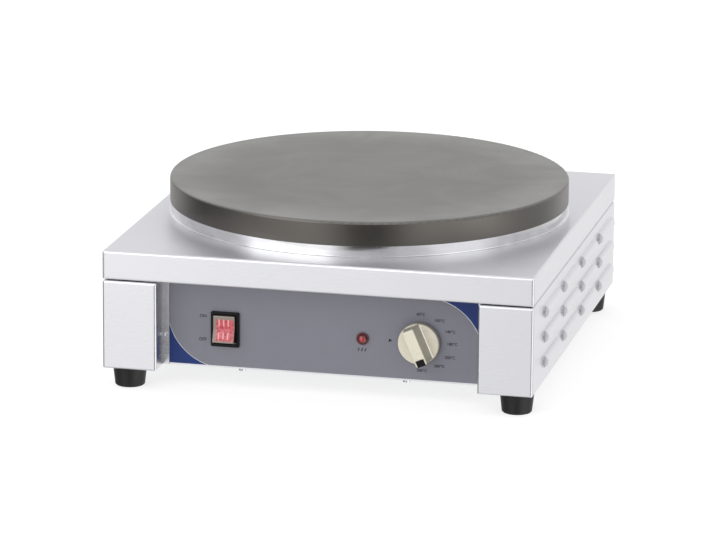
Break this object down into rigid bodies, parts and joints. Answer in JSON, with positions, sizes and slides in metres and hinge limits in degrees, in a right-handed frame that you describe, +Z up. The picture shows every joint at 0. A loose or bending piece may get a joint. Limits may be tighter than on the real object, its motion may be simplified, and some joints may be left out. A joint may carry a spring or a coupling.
{
  "type": "electric crepe maker",
  "caption": "Square stainless cabinet on rubber feet with a round cast iron cooking plate, a recessed fascia with rocker switch, pilot lamp and thermostat knob, and louvred sides.",
  "frame": {"origin": "on the table under the middle of the cabinet, between the soles of the feet", "axes": "+X to the right seen from the controls, +Y to the rear, +Z up"},
  "size_m": [0.435, 0.446, 0.176],
  "materials": {
    "cast_iron": "machined and seasoned, satin",
    "polished_steel": "polished",
    "stainless_steel": "fine brushed",
    "galvanised_steel": "galvanised, dull",
    "grey_film": "satin printed film",
    "blue_film": "satin printed film",
    "black_plastic": "moulded, semi gloss",
    "rocker_red": "translucent moulded",
    "lens_red": "translucent, glossy",
    "lamp_ring": "moulded",
    "tinned_brass": "bright",
    "ivory_plastic": "moulded",
    "cream_plastic": "moulded, fine grain",
    "dark_plastic": "moulded",
    "copper": "drawn tube",
    "element_sheath": "heat-darkened sheath",
    "zinc_plated": "bright zinc",
    "insulation": "pressed ceramic fibre board",
    "rubber": "moulded, matte",
    "brown_wire": "silicone sleeve",
    "blue_wire": "silicone sleeve",
    "green_wire": "silicone sleeve"
  },
  "bodies": {
    "body": {"cooking_plate": "cast_iron", "plate_collar": "polished_steel", "top_cover": "stainless_steel", "left_side_panel": "stainless_steel", "right_side_panel": "stainless_steel", "rear_panel": "stainless_steel", "base_plate": "galvanised_steel", "fascia_panel": "stainless_steel", "fascia_film": "grey_film", "corner_decals": "blue_film", "switch_housing": "black_plastic", "switch_terminals": "tinned_brass", "pilot_bezel": "lamp_ring", "pilot_lens": "lens_red", "pilot_body": "ivory_plastic", "pilot_nut": "zinc_plated", "thermostat_body": "ivory_plastic", "thermostat_screws": "zinc_plated", "thermostat_terminals": "tinned_brass", "thermostat_bulb": "copper", "limiter_bulb": "copper", "safety_limiter": "dark_plastic", "limiter_bracket": "galvanised_steel", "heating_element_inner": "element_sheath", "heating_element_middle": "element_sheath", "heating_element_outer": "element_sheath", "element_clamps": "galvanised_steel", "clamp_studs": "zinc_plated", "clamp_nuts": "zinc_plated", "insulation_pan": "galvanised_steel", "insulation_disc": "insulation", "plate_studs": "zinc_plated", "plate_spacers": "zinc_plated", "plate_nuts": "zinc_plated", "front_bridge": "galvanised_steel", "rear_bridge": "galvanised_steel", "bridge_screws": "zinc_plated", "terminal_block": "ivory_plastic", "terminal_screws": "tinned_brass", "cable_gland": "black_plastic", "gland_locknut": "black_plastic", "earth_stud": "tinned_brass", "front_left_foot": "rubber", "front_right_foot": "rubber", "rear_left_foot": "rubber", "rear_right_foot": "rubber", "foot_screws": "zinc_plated", "foot_nuts": "zinc_plated", "base_screws": "zinc_plated", "cover_spacers": "zinc_plated", "cover_screws": "zinc_plated", "fascia_screws": "zinc_plated", "rear_panel_screws": "zinc_plated", "live_wires": "brown_wire", "neutral_wires": "blue_wire", "earth_wires": "green_wire"},
    "knob": {"thermostat_knob": "cream_plastic", "knob_index": "black_plastic", "thermostat_spindle": "zinc_plated"},
    "rocker": {"switch_rocker": "rocker_red"}
  },
  "joints": [
    {"name": "knob_turn", "type": "hinge", "parent": "body", "child": "knob", "pos_m": [0.0962, -0.19, 0.0613], "axis": [0, 1, 0], "range_deg": [-246.4, 23.6]},
    {"name": "rocker_tilt", "type": "hinge", "parent": "body", "child": "rocker", "pos_m": [-0.0972, -0.193, 0.0613], "axis": [1, 0, 0], "range_deg": [0, 20]}
  ]
}
